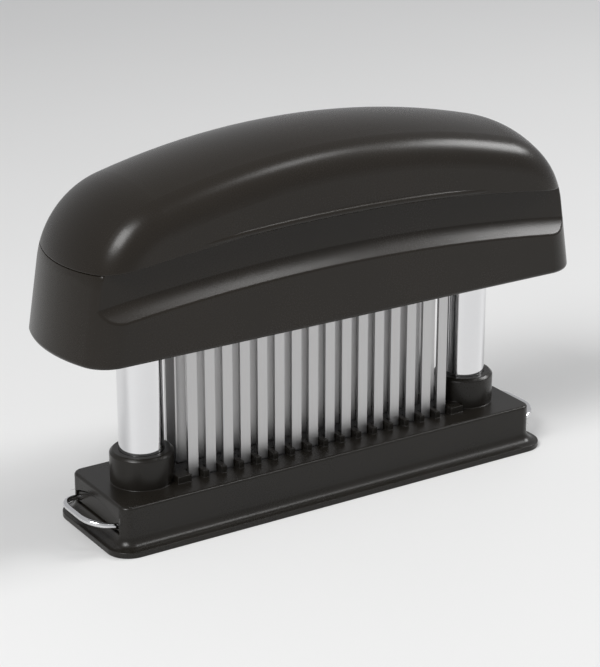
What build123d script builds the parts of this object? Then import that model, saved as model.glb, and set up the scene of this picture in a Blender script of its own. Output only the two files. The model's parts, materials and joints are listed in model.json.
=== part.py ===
from build123d import *
import math
import os

os.makedirs("parts", exist_ok=True)

# Spring-loaded meat tenderizer: pressing the handle drives three rows of blades down
# through a slotted base. X runs along its length, the front faces -Y and +Z is up.
# The origin is the middle of the base's underside. All lengths are in millimetres.

# Fits
slide_gap = 0.35  # free space round a piece that moves past another
stop_gap = 0.3  # space left at a stop or under a guided piece
running_gap = 0.05  # radial play of a post in its bush
seat_gap = 0.02  # radial play of a piece fixed in its seat
overrun = 4.0  # how far a cut runs past the face it breaks

# Posts
post_spacing = 104.0
post_diameter = 12.0
post_wall = 1.0
rest_gap = 31.9  # from the bosses up to the handle's rim at rest

# Base
base_end = 13.5  # base beyond the middle of each post
base_depth = 30.0
base_height = 12.5
base_corner = 3.0
base_wall = 1.8
base_top = 2.2
foot_reach = 3.5  # how far the flared foot stands out from the wall
foot_lip = 1.6
flare_radius = 3.2
edge_round = 0.8
boss_diameter = 17.0
boss_height = 8.8
socket_floor = 1.2
socket_bottom = 1.8
drain_diameter = 8.0
rib_count = 4
rib_spacing = 24.0
rib_thickness = 1.2
rib_height = 6.0

# Blades
blade_count = 16
rank_count = 3
blade_spacing_y = 5.8  # between rows
blade_thickness = 0.9
blade_share = 0.56  # of the pitch
head_share = 0.82  # of the pitch
blade_slant = 2.6  # height of the slanted cutting tip
grind_height = 1.6  # ground part of the tip
cutting_edge = 0.15
tip_height = 3.6  # tips above the table at rest
comb_rise = 2.0
comb_margin = 2.0  # comb beyond the outer rows of blades

# Latches that hold the posts in the base
latch_height = 2.6
latch_margin = 3.3  # from the side of the base to the side of the latch
latch_bottom = 4.7
latch_travel = 9.0
latch_reach = 2.5  # how far the fork's prongs pass the middle of the post
latch_panel = 2.0
latch_setback = 0.5
mouth_side_height = 7.7
mouth_top_height = 10.0
lug_width = 1.15
lug_length = 2.9
rail_width = 2.7
rail_height = 1.4
neck_diameter = 9.2
pull_wire = 1.5
pull_margin = 1.3  # from the side of the latch to the middle of the wire
pull_reach = 7.2  # loop beyond the face of its latch
pull_bend = 7.0
pull_tilt = 12.0  # rise of the loop, degrees
pull_hold = 2.5  # wire held inside the latch
pull_height = 1.5  # wire above the underside of the latch, at its face
foot_spigot = 10.0

# Handle
handle_depth = 41.6
handle_height = 49.2
shell = 2.4
arch_radius = 215.0  # arch of the handle's top, seen from the front
arch_beyond = 3.2  # arch beyond the middle of each post
end_radius = 27.0
end_draft = 9.5  # lean of the ends, degrees
crown_radius = 45.0
shoulder_radius = 9.0
rim_round = 1.2
seam_height = 28.8  # cover's lower edge above the rim, at mid length
seam_drop = 7.3
seam_round = 0.3
ledge_height = 19.75  # inner edge of the finger ledge above the rim, at mid length
ledge_drop = 6.1
ledge_slope = 50.0  # degrees
groove_depth = 3.5
floor_rise = 3.8
floor_thickness = 3.0

# Inside the handle
bush_diameter = 15.0
bush_flange = 18.0
bush_flange_thickness = 1.5
bush_drop = 1.5
collar_diameter = 15.0
collar_thickness = 2.5
post_end = 1.6  # post above its collar
roof_boss = 12.0
seat_flange = 9.2
seat_flange_thickness = 1.2
seat_pin = 5.6
seat_pin_length = 22.0
seat_stem = 4.0
seat_stem_length = 2.6
roof_drop = 11.0  # from the top of the handle down to the spring seats
spring_wire = 0.9
spring_mean = 8.0
spring_turns = 8
spring_wire_sides = 6
holder_height = 8.0
holder_margin = 2.2
holder_flange = 30.0
holder_flange_thickness = 3.0
plate_thickness = 1.5  # slotted plate that the blades hang in
head_height = 3.0
holder_screw_share = 0.7  # of the holder's length
holder_screw_spacing_y = 24.0
holder_screw = 2.6
holder_screw_head = 5.0
holder_screw_head_height = 1.8
holder_screw_grip = 2.5
cover_screw_beyond = 14.0  # cover screws beyond the middle of each post
cover_screw = 3.0
cover_screw_head = 5.6
cover_screw_head_height = 2.0
cover_screw_length = 18.0
column_diameter = 7.0

# Heights and places that follow from the sizes above
base_length = post_spacing + 2 * base_end
boss_top = base_height + boss_height
rim = boss_top + rest_gap
handle_top = rim + handle_height
floor_bottom = rim + floor_rise
floor_top = floor_bottom + floor_thickness
bush_top = floor_top + bush_flange_thickness
collar_bottom = bush_top + stop_gap
post_top = collar_bottom + collar_thickness + post_end
seat_top = handle_top - roof_drop
spring_top = seat_top - seat_flange_thickness
post_x = post_spacing / 2
post_bore = post_diameter - 2 * post_wall
half_depth = handle_depth / 2
groove_half = half_depth - groove_depth
pocket_top = base_height - base_top
pocket_length = base_length - 2 * base_wall
pocket_depth = base_depth - 2 * base_wall
latch_half_width = base_depth / 2 - latch_margin
latch_top = latch_bottom + latch_height
neck_bottom = latch_bottom - stop_gap
neck_top = latch_top + stop_gap
socket_seat = socket_bottom + socket_floor
spigot_top = neck_top + foot_spigot
latch_tip = post_x - latch_reach
panel_outside = base_length / 2 - latch_setback
wire_height = latch_bottom + pull_height
pull_half_width = latch_half_width - pull_margin
blade_pitch = (post_spacing - bush_flange - 2 * stop_gap) / blade_count
blade_width = blade_share * blade_pitch
head_width = head_share * blade_pitch
slot_width = blade_width + 2 * slide_gap
slot_thickness = blade_thickness + 2 * slide_gap
ranks_depth = (rank_count - 1) * blade_spacing_y
comb_depth = ranks_depth + slot_thickness + 2 * comb_margin
plate_top = floor_top + plate_thickness
blade_top = plate_top + head_height
holder_length = blade_count * blade_pitch
heads_length = holder_length - blade_pitch + head_width
holder_screw_spacing_x = holder_screw_share * holder_length
holder_depth = ranks_depth + blade_thickness + 2 * holder_margin
cover_screw_spacing = post_spacing + 2 * cover_screw_beyond
sides = (("left", -1), ("right", 1))
rows = (("front", 1), ("middle", 0), ("rear", -1))

# Centres of the handle's top arch and of its rounded ends
arch_reach = post_x + arch_beyond
arch_span = arch_reach + end_radius
arch_centre = handle_top - arch_radius
arch_angle = math.degrees(math.asin(arch_reach / arch_radius))
end_x = (arch_radius - end_radius) * math.sin(math.radians(arch_angle))
end_z = arch_centre + (arch_radius - end_radius) * math.cos(math.radians(arch_angle))
end_angle = 90.0 - end_draft


def section_plane(x, z, radius, angle):
    turn = math.radians(angle)
    point = (x + radius * math.sin(turn), 0, z + radius * math.cos(turn))
    return Plane(origin=point, x_dir=(0, 1, 0), z_dir=(math.cos(turn), 0, -math.sin(turn)))


def handle_form(inset, bottom):
    """The handle's rounded form, drawn in by the inset and cut level at the bottom."""
    half = half_depth - inset
    crown = crown_radius - inset
    shoulder = shoulder_radius - inset
    edge = math.sqrt(crown**2 - half**2) - crown
    arch = arch_radius - inset
    end = end_radius - inset
    end_depth = end - edge_round
    wall_length = end_z + end - bottom + overrun
    arch_depth = handle_top - end_z + overrun
    core_reach = end_x + shoulder
    core_top = end_z + 2 * edge_round
    stations = (
        (section_plane(0, arch_centre, arch, -arch_angle), arch_depth, "arch"),
        (section_plane(end_x, end_z, end, arch_angle), end_depth, "end"),
        (section_plane(end_x, end_z, end, end_angle), end_depth, "wall"),
    )
    with BuildPart() as form:
        for plane, depth, stretch in stations:
            with BuildSketch(plane) as section:
                with BuildLine():
                    Polyline((-half, edge), (-half, -depth), (half, -depth), (half, edge))
                    ThreePointArc((half, edge), (0, 0), (-half, edge))
                make_face()
                fillet(section.vertices().group_by(Axis.Y)[-1], shoulder)
            if stretch == "arch":
                revolve(axis=Axis((0, 0, arch_centre), (0, 1, 0)), revolution_arc=2 * arch_angle)
            elif stretch == "end":
                revolve(axis=Axis((end_x, 0, end_z), (0, 1, 0)), revolution_arc=end_angle - arch_angle)
            else:
                extrude(amount=wall_length)
        mirror(about=Plane.YZ)
        with BuildSketch(Plane.XZ):
            with Locations((0, bottom - overrun)):
                Rectangle(2 * core_reach, core_top - bottom + overrun, align=(Align.CENTER, Align.MIN))
        extrude(amount=half, both=True)
        split(bisect_by=Plane.XY.offset(bottom), keep=Keep.TOP)
    return form.part


def under_arch(height, drop, half):
    """Everything under an arch that spans the handle, to either side of the middle plane."""
    with BuildPart() as block:
        with BuildSketch(Plane.XZ):
            with BuildLine():
                ThreePointArc((-arch_span, height - drop), (0, height), (arch_span, height - drop))
                Polyline(
                    (arch_span, height - drop), (arch_span, 0), (-arch_span, 0), (-arch_span, height - drop)
                )
            make_face()
        extrude(amount=half, both=True)
    return block.part


# Base: flared moulding with two post bosses and a slotted comb, open underneath
with BuildPart() as base:
    with BuildSketch():
        RectangleRounded(base_length, base_depth, base_corner)
    extrude(amount=base_height)
    with BuildSketch():
        RectangleRounded(
            base_length + 2 * foot_reach, base_depth + 2 * foot_reach, base_corner + foot_reach
        )
    extrude(amount=foot_lip)
    shelf = base.faces().filter_by(Axis.Z).sort_by(Axis.Z)[1]
    fillet(shelf.inner_wires()[0].edges(), flare_radius)
    fillet(base.faces().sort_by(Axis.Z)[-1].outer_wire().edges(), edge_round)
    with BuildSketch(Plane.XY.offset(base_height - edge_round)):
        with GridLocations(post_spacing, 0, 2, 1):
            Circle(boss_diameter / 2)
    extrude(amount=boss_height + edge_round)
    chamfer(base.edges().group_by(Axis.Z)[-1], edge_round)
    with BuildSketch(Plane.XY.offset(base_height - edge_round)):
        Rectangle(post_spacing - post_diameter, comb_depth)
    extrude(amount=comb_rise + edge_round)
    with BuildSketch():
        RectangleRounded(pocket_length, pocket_depth, base_corner - base_wall / 2)
    extrude(amount=pocket_top, mode=Mode.SUBTRACT)
    with BuildSketch(Plane.XY.offset(socket_bottom)):
        with GridLocations(post_spacing, 0, 2, 1):
            Circle(boss_diameter / 2)
    extrude(amount=pocket_top - socket_bottom)
    with BuildSketch(Plane.XY.offset(socket_seat)):
        with GridLocations(post_spacing, 0, 2, 1):
            Circle(post_diameter / 2 + seat_gap)
    extrude(amount=boss_top - socket_seat, mode=Mode.SUBTRACT)
    with BuildSketch():
        with GridLocations(post_spacing, 0, 2, 1):
            Circle(drain_diameter / 2)
    extrude(amount=socket_seat + overrun, mode=Mode.SUBTRACT)
    # Ribs across the pocket, either side of the blades
    rib_length = (pocket_depth - comb_depth) / 2
    with BuildSketch(Plane.XY.offset(pocket_top - rib_height)):
        with GridLocations(rib_spacing, comb_depth + rib_length, rib_count, 2):
            Rectangle(rib_thickness, rib_length)
    extrude(amount=rib_height)
    # Rails under each latch, and a cut through the sockets for its fork
    rail_start = latch_tip - slide_gap
    rail_length = pocket_length / 2 - rail_start
    with BuildSketch(Plane.XY.offset(neck_bottom - rail_height)):
        with GridLocations(2 * rail_start + rail_length, pocket_depth - rail_width, 2, 2):
            Rectangle(rail_length, rail_width)
    extrude(amount=rail_height)
    with BuildSketch(Plane.XY.offset(neck_bottom)):
        with GridLocations(2 * rail_start + rail_length, 0, 2, 1):
            Rectangle(rail_length, pocket_depth)
    extrude(amount=neck_top - neck_bottom, mode=Mode.SUBTRACT)
    # Arched mouths in the ends
    mouth_half = latch_half_width + slide_gap
    for side, sign in sides:
        with BuildSketch(Plane.YZ.offset(sign * (base_length / 2 + overrun))):
            with BuildLine():
                ThreePointArc(
                    (-mouth_half, mouth_side_height), (0, mouth_top_height), (mouth_half, mouth_side_height)
                )
                Polyline(
                    (mouth_half, mouth_side_height),
                    (mouth_half, neck_bottom),
                    (-mouth_half, neck_bottom),
                    (-mouth_half, mouth_side_height),
                )
            make_face()
        extrude(amount=-sign * (overrun + base_wall), mode=Mode.SUBTRACT)
    # Blade slots, the outer rows open to the comb's sides
    with BuildSketch():
        with GridLocations(blade_pitch, blade_spacing_y, blade_count, rank_count):
            Rectangle(slot_width, slot_thickness)
    extrude(amount=base_height + comb_rise, mode=Mode.SUBTRACT)
    with BuildSketch(Plane.XY.offset(base_height)):
        with GridLocations(blade_pitch, ranks_depth + comb_margin + slot_thickness, blade_count, 2):
            Rectangle(slot_width, comb_margin + slot_thickness)
    extrude(amount=comb_rise, mode=Mode.SUBTRACT)
base.part.label = "base"
export_step(base.part, "parts/base.step")

# Posts: polished tubes, each with a turned foot below and a stop collar inside the handle
for side, sign in sides:
    with BuildPart() as post:
        with BuildSketch(Plane.XY.offset(neck_top)):
            with Locations((sign * post_x, 0)):
                Circle(post_diameter / 2)
                Circle(post_bore / 2, mode=Mode.SUBTRACT)
        extrude(amount=post_top - neck_top)
    post.part.label = f"{side}_post"
    export_step(post.part, f"parts/{side}_post.step")

    with BuildPart() as post_foot:
        for low, high, radius in (
            (socket_seat, neck_bottom, post_diameter / 2),
            (neck_bottom, neck_top, neck_diameter / 2),
            (neck_top, spigot_top, post_bore / 2 - seat_gap),
        ):
            with BuildSketch(Plane.XY.offset(low)):
                with Locations((sign * post_x, 0)):
                    Circle(radius)
            extrude(amount=high - low)
    post_foot.part.label = f"{side}_post_foot"
    export_step(post_foot.part, f"parts/{side}_post_foot.step")

    with BuildPart() as post_collar:
        with BuildSketch(Plane.XY.offset(collar_bottom)):
            with Locations((sign * post_x, 0)):
                Circle(collar_diameter / 2)
                Circle(post_diameter / 2 + seat_gap, mode=Mode.SUBTRACT)
        extrude(amount=collar_thickness)
    post_collar.part.label = f"{side}_post_collar"
    export_step(post_collar.part, f"parts/{side}_post_collar.step")

# Latches: a sliding fork that grips the neck of the post foot, closed by an arched panel
for side, sign in sides:
    lug_x = pocket_length / 2 - latch_travel - stop_gap - lug_length / 2
    body_length = panel_outside - latch_tip
    wire_start = (sign * panel_outside, 0, wire_height)
    wire_run = (sign * math.cos(math.radians(pull_tilt)), 0, math.sin(math.radians(pull_tilt)))
    hole_plane = Plane(origin=wire_start, x_dir=(0, 1, 0), z_dir=wire_run)
    loop_plane = Plane(origin=wire_start, x_dir=wire_run, z_dir=hole_plane.y_dir)
    with BuildPart() as latch:
        with BuildSketch(Plane.XY.offset(latch_bottom)):
            with Locations((sign * (latch_tip + body_length / 2), 0)):
                Rectangle(body_length, 2 * latch_half_width)
            with Locations((sign * lug_x, 0)):
                Rectangle(lug_length, 2 * (latch_half_width + lug_width))
            with Locations((sign * post_x, 0)):
                Circle(neck_diameter / 2 + slide_gap, mode=Mode.SUBTRACT)
            with Locations((sign * (post_x - latch_reach), 0)):
                Rectangle(2 * latch_reach, neck_diameter + 2 * slide_gap, mode=Mode.SUBTRACT)
        extrude(amount=latch_height)
        with BuildSketch(Plane.YZ.offset(sign * panel_outside)):
            with BuildLine():
                ThreePointArc(
                    (-latch_half_width, mouth_side_height - slide_gap),
                    (0, mouth_top_height - slide_gap),
                    (latch_half_width, mouth_side_height - slide_gap),
                )
                Polyline(
                    (latch_half_width, mouth_side_height - slide_gap),
                    (latch_half_width, latch_bottom),
                    (-latch_half_width, latch_bottom),
                    (-latch_half_width, mouth_side_height - slide_gap),
                )
            make_face()
        extrude(amount=-sign * latch_panel)
        with BuildSketch(hole_plane):
            with Locations((-pull_half_width, 0), (pull_half_width, 0)):
                Circle(pull_wire / 2 + seat_gap)
        extrude(amount=pull_hold + seat_gap, both=True, mode=Mode.SUBTRACT)
    latch.part.label = f"{side}_latch"
    export_step(latch.part, f"parts/{side}_latch.step")

    with BuildPart() as pull:
        with BuildLine(loop_plane) as loop:
            FilletPolyline(
                (-pull_hold, -pull_half_width),
                (pull_reach, -pull_half_width),
                (pull_reach, pull_half_width),
                (-pull_hold, pull_half_width),
                radius=pull_bend,
            )
        with BuildSketch(Plane(origin=loop.line @ 0, z_dir=loop.line % 0)):
            Circle(pull_wire / 2)
        sweep()
    pull.part.label = f"{side}_pull"
    export_step(pull.part, f"parts/{side}_pull.step")

# Handle body: skirt with finger grooves front and back, and a floor that carries the works
under_seam = under_arch(rim + seam_height, seam_drop, handle_depth)
inner_form = handle_form(shell, rim - overrun)
with BuildPart() as groove:
    with BuildSketch(Plane.XZ.offset(groove_half)):
        with BuildLine():
            ThreePointArc(
                (-arch_span, rim + ledge_height - ledge_drop),
                (0, rim + ledge_height),
                (arch_span, rim + ledge_height - ledge_drop),
            )
            Polyline(
                (arch_span, rim + ledge_height - ledge_drop),
                (arch_span, handle_top),
                (-arch_span, handle_top),
                (-arch_span, rim + ledge_height - ledge_drop),
            )
        make_face()
    extrude(amount=groove_depth + overrun, taper=-ledge_slope)
    mirror(about=Plane.XZ)
with BuildPart() as skirt_cavity:
    add(inner_form)
    split(bisect_by=Plane.XY.offset(floor_bottom), keep=Keep.BOTTOM)
with BuildPart() as ledge_cavity:
    add(inner_form)
    add(under_arch(rim + ledge_height - 2 * shell, ledge_drop, handle_depth), mode=Mode.INTERSECT)
    split(bisect_by=Plane.XY.offset(floor_top), keep=Keep.TOP)
with BuildPart() as throat:
    add(inner_form)
    add(under_arch(rim + seam_height + 2 * shell, seam_drop, groove_half - shell), mode=Mode.INTERSECT)
    split(bisect_by=Plane.XY.offset(floor_top), keep=Keep.TOP)
with BuildPart() as handle_body:
    add(handle_form(0.0, rim))
    fillet(handle_body.faces().sort_by(Axis.Z)[0].edges(), rim_round)
    add(under_seam, mode=Mode.INTERSECT)
    add(groove.part, mode=Mode.SUBTRACT)
    add(skirt_cavity.part, mode=Mode.SUBTRACT)
    add(ledge_cavity.part, mode=Mode.SUBTRACT)
    add(throat.part, mode=Mode.SUBTRACT)
    with BuildSketch(Plane.XY.offset(floor_bottom)):
        Rectangle(holder_length - blade_pitch + slot_width, ranks_depth + 2 * slot_thickness)
        with GridLocations(post_spacing, 0, 2, 1):
            Circle(bush_diameter / 2)
        with GridLocations(cover_screw_spacing, 0, 2, 1):
            Circle(cover_screw / 2 + seat_gap)
        with GridLocations(holder_screw_spacing_x, holder_screw_spacing_y, 2, 2):
            Circle(holder_screw / 2 + seat_gap)
    extrude(amount=floor_thickness, mode=Mode.SUBTRACT)
handle_body.part.label = "handle_body"
export_step(handle_body.part, "parts/handle_body.step")

# Handle cover: arched shell with an inward shelf over the grooves and bosses under its roof
with BuildPart() as fixings:
    with BuildSketch(Plane.XY.offset(seat_top)):
        with GridLocations(post_spacing, 0, 2, 1):
            Circle(roof_boss / 2)
    extrude(amount=handle_height)
    with BuildSketch(Plane.XY.offset(floor_top)):
        with GridLocations(cover_screw_spacing, 0, 2, 1):
            Circle(column_diameter / 2)
    extrude(amount=handle_height)
    add(handle_form(shell / 2, rim), mode=Mode.INTERSECT)
with BuildPart() as cover_cavity:
    add(inner_form)
    add(under_arch(rim + seam_height + shell, seam_drop, handle_depth), mode=Mode.SUBTRACT)
with BuildPart() as handle_cover:
    add(handle_form(0.0, rim))
    add(under_seam, mode=Mode.SUBTRACT)
    fillet(handle_cover.faces().sort_by(Axis.Z)[0].outer_wire().edges(), seam_round)
    add(cover_cavity.part, mode=Mode.SUBTRACT)
    add(throat.part, mode=Mode.SUBTRACT)
    add(fixings.part)
    with BuildSketch(Plane.XY.offset(seat_top)):
        with GridLocations(post_spacing, 0, 2, 1):
            Circle(seat_stem / 2 + seat_gap)
    extrude(amount=seat_stem_length + stop_gap, mode=Mode.SUBTRACT)
    with BuildSketch(Plane.XY.offset(floor_top)):
        with GridLocations(cover_screw_spacing, 0, 2, 1):
            Circle(cover_screw / 2 + seat_gap)
    extrude(amount=cover_screw_length, mode=Mode.SUBTRACT)
handle_cover.part.label = "handle_cover"
export_step(handle_cover.part, "parts/handle_cover.step")

with BuildPart() as cover_screws:
    with BuildSketch(Plane.XY.offset(floor_bottom - cover_screw_head_height)):
        with GridLocations(cover_screw_spacing, 0, 2, 1):
            Circle(cover_screw_head / 2)
    extrude(amount=cover_screw_head_height)
    with BuildSketch(Plane.XY.offset(floor_bottom)):
        with GridLocations(cover_screw_spacing, 0, 2, 1):
            Circle(cover_screw / 2)
    extrude(amount=cover_screw_length)
cover_screws.part.label = "cover_screws"
export_step(cover_screws.part, "parts/cover_screws.step")

# Guide bushes in the floor, and spring seats under the roof
for side, sign in sides:
    with BuildPart() as bush:
        with BuildSketch(Plane.XY.offset(floor_bottom - bush_drop)):
            with Locations((sign * post_x, 0)):
                Circle(bush_diameter / 2 - seat_gap)
        extrude(amount=bush_drop + floor_thickness)
        with BuildSketch(Plane.XY.offset(floor_top)):
            with Locations((sign * post_x, 0)):
                Circle(bush_flange / 2)
        extrude(amount=bush_flange_thickness)
        with BuildSketch(Plane.XY.offset(floor_bottom - bush_drop)):
            with Locations((sign * post_x, 0)):
                Circle(post_diameter / 2 + running_gap)
        extrude(amount=bush_top - floor_bottom + bush_drop, mode=Mode.SUBTRACT)
    bush.part.label = f"{side}_bush"
    export_step(bush.part, f"parts/{side}_bush.step")

    with BuildPart() as spring_seat:
        for low, high, radius in (
            (spring_top - seat_pin_length, spring_top, seat_pin / 2),
            (spring_top, seat_top, seat_flange / 2),
            (seat_top, seat_top + seat_stem_length, seat_stem / 2),
        ):
            with BuildSketch(Plane.XY.offset(low)):
                with Locations((sign * post_x, 0)):
                    Circle(radius)
            extrude(amount=high - low)
    spring_seat.part.label = f"{side}_spring_seat"
    export_step(spring_seat.part, f"parts/{side}_spring_seat.step")

# Return springs: round wire wound on a steady helix between the post foot and the spring seat
spring_low = spigot_top + spring_wire / 2 + running_gap
spring_high = spring_top - spring_wire / 2 - running_gap
spring_pitch = (spring_high - spring_low) / spring_turns


def on_helix(turn):
    angle = 2 * math.pi * turn
    reach = spring_mean / 2
    return Vector(reach * math.cos(angle), reach * math.sin(angle), spring_low + spring_pitch * turn)


def along_helix(turn):
    angle = 2 * math.pi * turn
    reach = spring_mean / 2
    rise = spring_pitch / (2 * math.pi)
    return Vector(-reach * math.sin(angle), reach * math.cos(angle), rise).normalized()


for side, sign in sides:
    with BuildPart() as spring:
        with BuildLine():
            for quarter in range(4 * spring_turns):
                start, end = on_helix(quarter / 4), on_helix((quarter + 1) / 4)
                leave, arrive = along_helix(quarter / 4), along_helix((quarter + 1) / 4)
                chord = end - start
                both = leave + arrive
                a = both.dot(both) - 4
                b = -2 * chord.dot(both)
                c = chord.dot(chord)
                reach = (-b - math.sqrt(b * b - 4 * a * c)) / (2 * a)
                first, second = start + leave * reach, end - arrive * reach
                joint = (first + second) / 2
                TangentArc(start, joint, tangent=leave)
                TangentArc(joint, end, tangent=second - first)
        with BuildSketch(Plane(origin=on_helix(0), z_dir=along_helix(0))):
            RegularPolygon(spring_wire / 2, spring_wire_sides)
        sweep(clean=False)
    coil = spring.part.moved(Location((sign * post_x, 0, 0)))
    coil.label = f"{side}_spring"
    export_step(coil, f"parts/{side}_spring.step")

wound = [on_helix(step / 24) for step in range(24 * spring_turns + 1)]
self_gap = min(
    (wound[i] - wound[j]).length for i in range(len(wound)) for j in range(i + 12, len(wound))
) - spring_wire
print(f"least gap between the spring's turns: {self_gap:.2f} mm")

# Blades: three rows of strips with a slanted, ground tip, hung by their heads in a slotted plate
with BuildPart() as blade:
    with BuildSketch(Plane.XZ):
        Polygon(
            (-blade_width / 2, tip_height),
            (blade_width / 2, tip_height + blade_slant),
            (blade_width / 2, plate_top),
            (head_width / 2, plate_top),
            (head_width / 2, blade_top),
            (-head_width / 2, blade_top),
            (-head_width / 2, plate_top),
            (-blade_width / 2, plate_top),
            align=None,
        )
    extrude(amount=blade_thickness / 2, both=True)
    tip = blade.faces().sort_by(Axis.Z)[0]
    ground = tip.edges().filter_by(lambda edge: abs(edge.tangent_at(0).X) > abs(edge.tangent_at(0).Y))
    chamfer(ground, (blade_thickness - cutting_edge) / 2, grind_height, reference=tip)
for row, place in rows:
    with BuildPart() as blades:
        with GridLocations(blade_pitch, 0, blade_count, 1):
            add(blade.part.moved(Location((0, -place * blade_spacing_y, 0))))
    blades.part.label = f"{row}_blades"
    export_step(blades.part, f"parts/{row}_blades.step")

with BuildPart() as blade_plate:
    with BuildSketch(Plane.XY.offset(floor_top)):
        Rectangle(holder_length, holder_depth)
        with GridLocations(blade_pitch, blade_spacing_y, blade_count, rank_count):
            Rectangle(blade_width + 2 * seat_gap, blade_thickness + 2 * seat_gap, mode=Mode.SUBTRACT)
    extrude(amount=plate_thickness)
blade_plate.part.label = "blade_plate"
export_step(blade_plate.part, "parts/blade_plate.step")

# Holder: clamps the plate down on the handle's floor, with a groove for each row of blade heads
with BuildPart() as blade_holder:
    with BuildSketch(Plane.XY.offset(floor_top)):
        Rectangle(holder_screw_spacing_x + 2 * holder_screw_head, holder_flange)
    extrude(amount=holder_flange_thickness)
    with BuildSketch(Plane.XY.offset(plate_top)):
        Rectangle(holder_length, holder_depth)
    extrude(amount=holder_height - plate_thickness)
    with BuildSketch(Plane.XY.offset(floor_top)):
        Rectangle(holder_length, holder_depth + 2 * seat_gap)
    extrude(amount=plate_thickness, mode=Mode.SUBTRACT)
    with BuildSketch(Plane.XY.offset(plate_top)):
        with GridLocations(0, blade_spacing_y, 1, rank_count):
            Rectangle(heads_length + 2 * seat_gap, blade_thickness + 2 * seat_gap)
    extrude(amount=head_height + seat_gap, mode=Mode.SUBTRACT)
    with BuildSketch(Plane.XY.offset(floor_top)):
        with GridLocations(holder_screw_spacing_x, holder_screw_spacing_y, 2, 2):
            Circle(holder_screw / 2 + seat_gap)
    extrude(amount=holder_flange_thickness, mode=Mode.SUBTRACT)
blade_holder.part.label = "blade_holder"
export_step(blade_holder.part, "parts/blade_holder.step")

with BuildPart() as holder_screws:
    with BuildSketch(Plane.XY.offset(floor_top + holder_flange_thickness)):
        with GridLocations(holder_screw_spacing_x, holder_screw_spacing_y, 2, 2):
            Circle(holder_screw_head / 2)
    extrude(amount=holder_screw_head_height)
    with BuildSketch(Plane.XY.offset(floor_top - holder_screw_grip)):
        with GridLocations(holder_screw_spacing_x, holder_screw_spacing_y, 2, 2):
            Circle(holder_screw / 2)
    extrude(amount=holder_screw_grip + holder_flange_thickness)
holder_screws.part.label = "holder_screws"
export_step(holder_screws.part, "parts/holder_screws.step")
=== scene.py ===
import bpy
import bmesh
import json
import math
from mathutils import Matrix, Vector


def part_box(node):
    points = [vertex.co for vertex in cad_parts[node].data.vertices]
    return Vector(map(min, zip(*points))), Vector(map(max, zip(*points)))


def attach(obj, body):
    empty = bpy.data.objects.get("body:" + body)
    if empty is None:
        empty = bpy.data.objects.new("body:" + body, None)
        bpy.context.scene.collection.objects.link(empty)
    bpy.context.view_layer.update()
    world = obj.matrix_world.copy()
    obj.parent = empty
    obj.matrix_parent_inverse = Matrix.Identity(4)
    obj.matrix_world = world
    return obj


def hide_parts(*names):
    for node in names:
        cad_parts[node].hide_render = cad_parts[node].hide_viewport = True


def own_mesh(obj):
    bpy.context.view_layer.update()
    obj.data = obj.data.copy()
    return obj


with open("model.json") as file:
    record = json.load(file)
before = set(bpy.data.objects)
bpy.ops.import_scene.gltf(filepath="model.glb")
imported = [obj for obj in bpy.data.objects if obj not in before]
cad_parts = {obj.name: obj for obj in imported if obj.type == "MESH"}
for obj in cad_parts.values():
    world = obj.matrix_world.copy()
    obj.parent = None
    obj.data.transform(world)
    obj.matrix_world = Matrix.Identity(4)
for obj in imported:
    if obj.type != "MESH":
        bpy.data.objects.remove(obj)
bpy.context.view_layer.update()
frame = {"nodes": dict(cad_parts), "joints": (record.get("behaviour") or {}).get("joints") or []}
nodes = frame["nodes"]
print("frame loaded:", len(nodes), "nodes")


# shader sockets as numbers: a * b, 1 - mask and so on add Math nodes
class Val:
    def __init__(self, tree, socket):
        self.tree = tree
        self.socket = socket

    def math(self, operation, other, flip=False):
        node = self.tree.nodes.new("ShaderNodeMath")
        node.operation = operation
        for slot, value in zip((1, 0) if flip else (0, 1), (self, other)):
            plug(self.tree, node.inputs[slot], value)
        return Val(self.tree, node.outputs[0])

    def __add__(self, other):
        return self.math("ADD", other)

    __radd__ = __add__

    def __mul__(self, other):
        return self.math("MULTIPLY", other)

    __rmul__ = __mul__

    def __sub__(self, other):
        return self.math("SUBTRACT", other)

    def __rsub__(self, other):
        return self.math("SUBTRACT", other, flip=True)


def plug(tree, socket, value):
    if isinstance(value, Val):
        tree.links.new(value.socket, socket)
    else:
        socket.default_value = value


class Finish:
    def __init__(self, name, **fixed):
        self.mat = bpy.data.materials.new(name)
        self.mat.use_nodes = True
        self.tree = self.mat.node_tree
        self.shader = self.tree.nodes["Principled BSDF"]
        self.place = self.node("ShaderNodeTexCoord", out="Object")
        for socket, value in fixed.items():
            plug(self.tree, self.shader.inputs[socket], value)

    # any node: its settings first, then the values or links of its sockets, _2 standing for socket number 2
    def node(self, kind, settings=None, out=0, **sockets):
        made = self.tree.nodes.new(kind)
        for key, value in (settings or {}).items():
            setattr(made, key, value)
        for key, value in sockets.items():
            plug(self.tree, made.inputs[int(key[1:]) if key[:1] == "_" else key], value)
        return Val(self.tree, made.outputs[out])

    def stretch(self, scale):
        return self.node("ShaderNodeMapping", Vector=self.place, Scale=scale)

    def noise(self, scale, detail=2.0, rough=0.5, where=None):
        sockets = {"Vector": where or self.place, "Scale": scale, "Detail": detail, "Roughness": rough}
        return self.node("ShaderNodeTexNoise", **sockets)

    def between(self, value, low, high):  # a 0..1 value spread over low..high
        return value * (high - low) + low

    def blend(self, factor, a, b):
        return self.node("ShaderNodeMix", {"data_type": "RGBA"}, out=2, _0=factor, _6=a, _7=b)

    def bump(self, height, strength, distance):
        return self.node("ShaderNodeBump", Height=height, Strength=strength, Distance=distance)

    def set(self, **sockets):
        for key, value in sockets.items():
            plug(self.tree, self.shader.inputs[key.replace("_", " ")], value)
        return self.mat


# moulded plastic: fine grain with smaller specks in it, and faint flow marks in its colour and gloss
grainMix = {
    "detail": 2.0, "rough": 0.6, "middle": 0.5,
    "speckScale": 2.7, "speckDetail": 1.0, "speckShare": 0.4,
}


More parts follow.
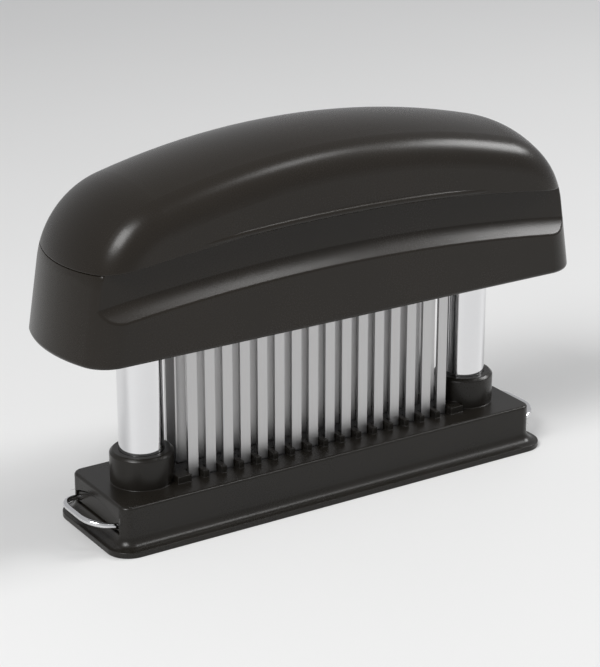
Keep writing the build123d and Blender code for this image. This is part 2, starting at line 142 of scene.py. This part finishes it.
def mouldedPlastic(name, look):
    f = Finish(name, **{"IOR": look["ior"], "Specular IOR Level": look["specular"]})
    flow = f.noise(look["flowScale"])
    grain = f.noise(look["grainScale"], detail=grainMix["detail"], rough=grainMix["rough"])
    speck = f.noise(look["grainScale"] * grainMix["speckScale"], detail=grainMix["speckDetail"])
    colour = f.blend(flow, look["dark"], look["light"])
    uneven = (grain - grainMix["middle"]) * look["grainRough"]
    rough = f.between(flow, look["gloss"], look["matte"]) + uneven
    relief = f.bump(grain + speck * grainMix["speckShare"], look["grainStrength"], look["grainDepth"])
    return f.set(Base_Color=colour, Roughness=rough, Normal=relief)


# bright metal: polishing or rolling streaks that run along one direction, and broader patches
streakMix = {
    "detail": 4.0, "rough": 0.6, "low": 0.2, "high": 0.8, "share": 0.7,
    "patchShare": 0.3, "middle": 0.5,
}


def streakedMetal(name, look):
    f = Finish(name, Metallic=1.0)
    along = f.stretch(look["streak"])
    streak = f.noise(look["streakScale"], detail=streakMix["detail"], rough=streakMix["rough"], where=along)
    patch = f.noise(look["patchScale"])
    tone = f.between(streak, streakMix["low"], streakMix["high"]) * streakMix["share"]
    tone = tone + patch * streakMix["patchShare"]
    colour = f.blend(tone, look["dark"], look["light"])
    uneven = (patch - streakMix["middle"]) * look["patchRough"]
    rough = f.between(streak, look["gloss"], look["matte"]) + uneven
    relief = f.bump(streak, look["depthStrength"], look["depth"])
    return f.set(Base_Color=colour, Roughness=rough, Normal=relief)


handlePlastic = mouldedPlastic("handlePlastic", {
    "dark": (0.0120, 0.0094, 0.0066, 1), "light": (0.0180, 0.0143, 0.0103, 1), "ior": 1.5, "specular": 0.29,
    "flowScale": 38.0, "gloss": 0.25, "matte": 0.29, "grainScale": 2600.0, "grainRough": 0.04,
    "grainStrength": 0.04, "grainDepth": 0.00004,
})
basePlastic = mouldedPlastic("basePlastic", {
    "dark": (0.0100, 0.0086, 0.0068, 1), "light": (0.0150, 0.0130, 0.0104, 1), "ior": 1.5, "specular": 0.30,
    "flowScale": 46.0, "gloss": 0.25, "matte": 0.31, "grainScale": 3000.0, "grainRough": 0.05,
    "grainStrength": 0.05, "grainDepth": 0.00004,
})
latchPlastic = mouldedPlastic("latchPlastic", {
    "dark": (0.0115, 0.0098, 0.0078, 1), "light": (0.0170, 0.0148, 0.0118, 1), "ior": 1.5, "specular": 0.30,
    "flowScale": 70.0, "gloss": 0.27, "matte": 0.34, "grainScale": 3200.0, "grainRough": 0.08,
    "grainStrength": 0.08, "grainDepth": 0.00006,
})
holderPlastic = mouldedPlastic("holderPlastic", {
    "dark": (0.020, 0.020, 0.020, 1), "light": (0.032, 0.032, 0.031, 1), "ior": 1.5, "specular": 0.5,
    "flowScale": 60.0, "gloss": 0.42, "matte": 0.52, "grainScale": 2400.0, "grainRough": 0.10,
    "grainStrength": 0.12, "grainDepth": 0.00008,
})
bushPlastic = mouldedPlastic("bushPlastic", {
    "dark": (0.60, 0.585, 0.54, 1), "light": (0.72, 0.705, 0.66, 1), "ior": 1.48, "specular": 0.5,
    "flowScale": 90.0, "gloss": 0.34, "matte": 0.44, "grainScale": 2600.0, "grainRough": 0.08,
    "grainStrength": 0.08, "grainDepth": 0.00006,
})
postChrome = streakedMetal("postChrome", {
    "dark": (0.72, 0.72, 0.73, 1), "light": (0.80, 0.80, 0.81, 1), "streak": (1, 1, 9),
    "streakScale": 420.0, "patchScale": 60.0, "gloss": 0.055, "matte": 0.10, "patchRough": 0.02,
    "depthStrength": 0.03, "depth": 0.00003,
})
pullChrome = streakedMetal("pullChrome", {
    "dark": (0.70, 0.70, 0.71, 1), "light": (0.80, 0.80, 0.81, 1), "streak": (1, 1, 1),
    "streakScale": 900.0, "patchScale": 160.0, "gloss": 0.10, "matte": 0.18, "patchRough": 0.04,
    "depthStrength": 0.04, "depth": 0.00003,
})
bladeSteel = streakedMetal("bladeSteel", {
    "dark": (0.47, 0.465, 0.465, 1), "light": (0.60, 0.595, 0.595, 1), "streak": (14, 14, 1),
    "streakScale": 150.0, "patchScale": 70.0, "gloss": 0.29, "matte": 0.40, "patchRough": 0.05,
    "depthStrength": 0.08, "depth": 0.00004,
})
plateSteel = streakedMetal("plateSteel", {
    "dark": (0.50, 0.50, 0.51, 1), "light": (0.62, 0.62, 0.63, 1), "streak": (1, 16, 16),
    "streakScale": 130.0, "patchScale": 60.0, "gloss": 0.24, "matte": 0.36, "patchRough": 0.05,
    "depthStrength": 0.08, "depth": 0.00004,
})
turnedSteel = streakedMetal("turnedSteel", {
    "dark": (0.46, 0.46, 0.47, 1), "light": (0.58, 0.58, 0.59, 1), "streak": (1, 1, 22),
    "streakScale": 160.0, "patchScale": 90.0, "gloss": 0.22, "matte": 0.34, "patchRough": 0.05,
    "depthStrength": 0.10, "depth": 0.00004,
})
springSteel = streakedMetal("springSteel", {
    "dark": (0.36, 0.36, 0.38, 1), "light": (0.50, 0.50, 0.52, 1), "streak": (1, 1, 4),
    "streakScale": 500.0, "patchScale": 120.0, "gloss": 0.24, "matte": 0.36, "patchRough": 0.06,
    "depthStrength": 0.06, "depth": 0.00004,
})
screwZinc = streakedMetal("screwZinc", {
    "dark": (0.52, 0.52, 0.50, 1), "light": (0.66, 0.66, 0.63, 1), "streak": (1, 1, 1),
    "streakScale": 700.0, "patchScale": 200.0, "gloss": 0.26, "matte": 0.40, "patchRough": 0.08,
    "depthStrength": 0.06, "depth": 0.00004,
})
print("finishes made:", len(bpy.data.materials))

finishOf = {
    "handle_body": handlePlastic, "handle_cover": handlePlastic, "base": basePlastic,
    "left_latch": latchPlastic, "right_latch": latchPlastic,
    "left_pull": pullChrome, "right_pull": pullChrome,
    "left_post": postChrome, "right_post": postChrome,
    "left_post_foot": turnedSteel, "right_post_foot": turnedSteel,
    "left_post_collar": turnedSteel, "right_post_collar": turnedSteel,
    "left_bush": bushPlastic, "right_bush": bushPlastic,
    "left_spring_seat": bushPlastic, "right_spring_seat": bushPlastic,
    "left_spring": springSteel, "right_spring": springSteel,
    "blade_holder": holderPlastic, "blade_plate": plateSteel,
    "front_blades": bladeSteel, "middle_blades": bladeSteel, "rear_blades": bladeSteel,
    "cover_screws": screwZinc, "holder_screws": screwZinc,
}
for name, finish in finishOf.items():
    mesh = nodes[name].data
    mesh.materials.clear()
    mesh.materials.append(finish)
print("nodes dressed:", len(finishOf), "of", len(nodes))

# the arched seam between the handle's body and its cover, which falls by drop at half a span from its middle
seamArch = {"half": 0.0822, "drop": 0.0073, "near": 0.00005}
bodyLow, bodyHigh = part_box("handle_body")
seamTop = bodyHigh[2]


def archRadius(arch):
    return (arch["half"] ** 2 + arch["drop"] ** 2) / (2 * arch["drop"])


seamRadius = archRadius(seamArch)


def onSeam(point):
    return abs(math.hypot(point.x, point.z - seamTop + seamRadius) - seamRadius) < seamArch["near"]


# softened copies of the mouldings: doubles merged, flat triangles joined, crisp edges rolled over
softEdges = {
    "handle_body": {"roll": 0.00045, "steps": 3, "body": "handle", "slot": "housing"},
    "base": {"roll": 0.00020, "steps": 2, "body": "base", "slot": "housing"},
    "left_latch": {"roll": 0.00020, "steps": 2, "body": "left_latch", "slot": "latch_plastic"},
    "right_latch": {"roll": 0.00020, "steps": 2, "body": "right_latch", "slot": "latch_plastic"},
}
softLimits = {"merge": 1e-6, "flat": 0.2, "crisp": 28.0, "smooth": 40.0}  # metres, then degrees


def softened(name, edge, shape=None):
    bm = bmesh.new()
    bm.from_mesh(nodes[name].data)
    bmesh.ops.remove_doubles(bm, verts=bm.verts[:], dist=softLimits["merge"])
    flat = math.radians(softLimits["flat"])
    bmesh.ops.dissolve_limit(bm, angle_limit=flat, verts=bm.verts[:], edges=bm.edges[:])
    if shape:
        shape(bm)
    crisp = [e for e in bm.edges if e.calc_face_angle(0) > math.radians(softLimits["crisp"])]
    if name == "handle_body":  # its top edge stays crisp under the cover
        crisp = [e for e in crisp if not all(onSeam(v.co) for v in e.verts)]
    bmesh.ops.bevel(
        bm, geom=crisp, offset=edge["roll"], offset_type="OFFSET", affect="EDGES",
        segments=edge["steps"], profile=0.5, material=-1,
    )
    piece = pieceFrom(bm, name + "_soft", finishOf[name], edge["body"])
    piece.modifiers.new("evenShading", "WEIGHTED_NORMAL").keep_sharp = True
    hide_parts(name)


# a finished bmesh as a smooth-shaded object at the origin, riding on a body
def pieceFrom(bm, name, finish, body):
    mesh = bpy.data.meshes.new(name)
    bm.to_mesh(mesh)
    bm.free()
    mesh.shade_smooth()
    mesh.set_sharp_from_angle(angle=math.radians(softLimits["smooth"]))
    mesh.materials.append(finish)
    piece = bpy.data.objects.new(name, mesh)
    bpy.context.scene.collection.objects.link(piece)
    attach(piece, body)
    return piece


# finger ledges hollowed into coves: cut into strips along their length, then let down between their edges
ledge = {
    "half": 0.0822, "drop": 0.0061, "rise": 0.01975, "slope": 50.0, "depth": 0.0035,
    "cuts": 8, "hollow": 0.30, "facing": 0.98, "near": 1e-7,
}


def hollowLedges(bm):
    lean = math.radians(ledge["slope"])
    fall = ledge["depth"] * math.tan(lean)
    inner = bodyHigh[1] - ledge["depth"]
    hub = bodyLow[2] + ledge["rise"] - archRadius(ledge)
    for side in (-1, 1):
        facing = Vector((0, side * math.sin(lean), math.cos(lean)))
        slopes = [f for f in bm.faces if f.normal.dot(facing) > ledge["facing"]]
        slopes = [f for f in slopes if side * f.calc_center_median().y > inner]
        geom = list({part for f in slopes for part in (f, *f.edges, *f.verts)})
        for cut in range(1, ledge["cuts"]):
            out = side * (inner + ledge["depth"] * (cut / ledge["cuts"]) ** 2)
            strips = bmesh.ops.bisect_plane(
                bm, geom=geom, dist=ledge["near"], plane_co=(0, out, 0), plane_no=(0, 1, 0)
            )
            geom = strips["geom"]
        for v in {part for part in geom if isinstance(part, bmesh.types.BMVert)}:
            way = min(max((side * v.co.y - inner) / ledge["depth"], 0), 1)
            sag = ledge["hollow"] * fall * (math.sqrt(1 - (1 - way) ** 2) - way)
            v.co -= Vector((v.co.x, 0, v.co.z - hub)).normalized() * sag
    bm.normal_update()


shapes = {"handle_body": hollowLedges}
for name, edge in softEdges.items():
    softened(name, edge, shapes.get(name))
print("edges softened:", len(softEdges), "mouldings")

# thin raised lip along the cover's lower edge, front and back, sinking into the wall towards its ends
lipSize = {"wire": 0.00100, "proud": 0.00075, "half": 0.056, "sink": 0.0012, "steps": 72, "round": 14}


def seamLip(name, side):
    wall = side * (bodyHigh[1] - lipSize["wire"] + lipSize["proud"])
    swing = math.asin(lipSize["half"] / seamRadius)
    centre = Vector((0, wall, seamTop - seamRadius))
    bm = bmesh.new()
    ring = bmesh.ops.create_circle(bm, segments=lipSize["round"], radius=lipSize["wire"])
    place = Matrix.Translation((0, wall, seamTop + lipSize["wire"]))
    bmesh.ops.transform(bm, matrix=place @ Matrix.Rotation(math.pi / 2, 4, "Y"), verts=ring["verts"])
    bmesh.ops.rotate(bm, cent=centre, matrix=Matrix.Rotation(-swing, 3, "Y"), verts=ring["verts"])
    bmesh.ops.spin(
        bm, geom=bm.edges[:], cent=centre, axis=(0, 1, 0), angle=2 * swing,
        steps=lipSize["steps"], use_merge=False,
    )
    bmesh.ops.holes_fill(bm, edges=[e for e in bm.edges if e.is_boundary], sides=lipSize["round"])
    for v in bm.verts:
        v.co.y -= side * lipSize["sink"] * (v.co.x / lipSize["half"]) ** 2
    bmesh.ops.recalc_face_normals(bm, faces=bm.faces[:])
    pieceFrom(bm, name, handlePlastic, "handle")


seamLip("front_seam_lip", -1)
seamLip("rear_seam_lip", 1)
print("seam lips made")

# return springs: smooth copies riding on the base with their feet in the posts, and the share of their
# length left at full plunge printed
plungeRange = next(j for j in frame["joints"] if j["name"] == "plunge")["range_m"]


def returnSpring(name):
    low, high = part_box(name)
    bm = bmesh.new()
    bm.from_mesh(nodes[name].data)
    bmesh.ops.remove_doubles(bm, verts=bm.verts[:], dist=softLimits["merge"])
    coil = pieceFrom(bm, name + "_coil", springSteel, "base")
    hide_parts(name)
    shortest = 1 - max(plungeRange) / (high[2] - low[2])
    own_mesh(coil)
    print(name, "shortens to", round(shortest, 3))


returnSpring("left_spring")
returnSpring("right_spring")

# pale floor that runs out into the same haze as the room behind it
stageSize = {"half": 3.0, "near": 0.45, "far": 1.6}
stagePaper = {
    "colour": (0.82, 0.82, 0.815, 1), "shade": (0.80, 0.80, 0.795, 1), "haze": (0.58, 0.585, 0.60, 1),
    "mottle": 9.0, "rough": 0.55, "specular": 0.3,
}


def seenBy(tree):  # 1 where the eye, a reflection or a see-through piece looks
    path = tree.nodes.new("ShaderNodeLightPath").outputs
    looks = [Val(tree, path[key]) for key in ("Is Camera Ray", "Is Glossy Ray", "Is Transmission Ray")]
    return (looks[0] + looks[1] + looks[2]).math("MINIMUM", 1.0)


bm = bmesh.new()
bmesh.ops.create_grid(bm, x_segments=1, y_segments=1, size=stageSize["half"])
floorMesh = bpy.data.meshes.new("floor")
bm.to_mesh(floorMesh)
bm.free()
floor = bpy.data.objects.new("floor", floorMesh)
bpy.context.scene.collection.objects.link(floor)
sheen = {"Roughness": stagePaper["rough"], "Specular IOR Level": stagePaper["specular"]}
floorFinish = Finish("floorPaper", **sheen)
mottle = floorFinish.noise(stagePaper["mottle"])
floorFinish.set(Base_Color=floorFinish.blend(mottle, stagePaper["shade"], stagePaper["colour"]))
away = floorFinish.node("ShaderNodeVectorMath", {"operation": "LENGTH"}, out=1, _0=floorFinish.place)
fade = {"Value": away, "From Min": stageSize["near"], "From Max": stageSize["far"]}
far = floorFinish.node("ShaderNodeMapRange", {"interpolation_type": "SMOOTHSTEP"}, **fade)
glow = floorFinish.node("ShaderNodeEmission", Color=stagePaper["haze"])
plain = Val(floorFinish.tree, floorFinish.shader.outputs[0])
mixed = floorFinish.node("ShaderNodeMixShader", _0=far * seenBy(floorFinish.tree), _1=plain, _2=glow)
plug(floorFinish.tree, floorFinish.tree.nodes["Material Output"].inputs["Surface"], mixed)
floorMesh.materials.append(floorFinish.mat)

# soft boxes round the table and an even pale room
lampAim = (0, 0, 0.08)
lamps = {
    "right": {"at": (0.98, -0.22, 0.78), "size": (0.38, 0.42), "power": 6.8},
    "left": {"at": (-0.70, -0.28, 0.86), "size": (0.46, 0.46), "power": 8.8},
    "over": {"at": (0.44, -0.34, 1.00), "size": (0.24, 0.18), "power": 1.5},
}
for name, lamp in lamps.items():
    light = bpy.data.lights.new(name, "AREA")
    light.shape = "RECTANGLE"
    light.size, light.size_y = lamp["size"]
    light.energy = lamp["power"]
    holder = bpy.data.objects.new(name, light)
    holder.location = lamp["at"]
    aim = Vector(lampAim) - Vector(lamp["at"])
    holder.rotation_mode = "QUATERNION"
    holder.rotation_quaternion = aim.to_track_quat("-Z", "Y")
    bpy.context.scene.collection.objects.link(holder)

room = {"light": 0.26, "seen": 0.52, "colour": (0.925, 0.933, 0.955, 1)}  # as it lights and as it is seen
world = bpy.data.worlds.new("room")
world.use_nodes = True
bpy.context.scene.world = world
sky = world.node_tree.nodes["Background"]
sky.inputs["Color"].default_value = room["colour"]
strength = seenBy(world.node_tree) * (room["seen"] - room["light"]) + room["light"]
plug(world.node_tree, sky.inputs["Strength"], strength)
print("stage and lamps set")

# camera: the picture's own standpoint, measured in degrees and metres
shot = {
    "azimuth": -32.67, "elevation": 20.04, "distance": 0.568, "lens": 114.0, "clip": 0.01,
    "about": (0, 0, 0.0478), "aim": (-0.003, 0.0, 0.0432),
}
turn, lift = math.radians(shot["azimuth"]), math.radians(shot["elevation"])
back = Vector((math.sin(turn) * math.cos(lift), -math.cos(turn) * math.cos(lift), math.sin(lift)))
camera = bpy.data.objects.new("camera", bpy.data.cameras.new("camera"))
camera.data.lens = shot["lens"]
camera.data.clip_start = shot["clip"]
camera.location = Vector(shot["about"]) + back * shot["distance"]
camera.rotation_mode = "QUATERNION"
camera.rotation_quaternion = (Vector(shot["aim"]) - camera.location).to_track_quat("-Z", "Y")
bpy.context.scene.collection.objects.link(camera)
bpy.context.scene.camera = camera
bpy.context.scene.view_settings.view_transform = "Standard"
print("camera set")
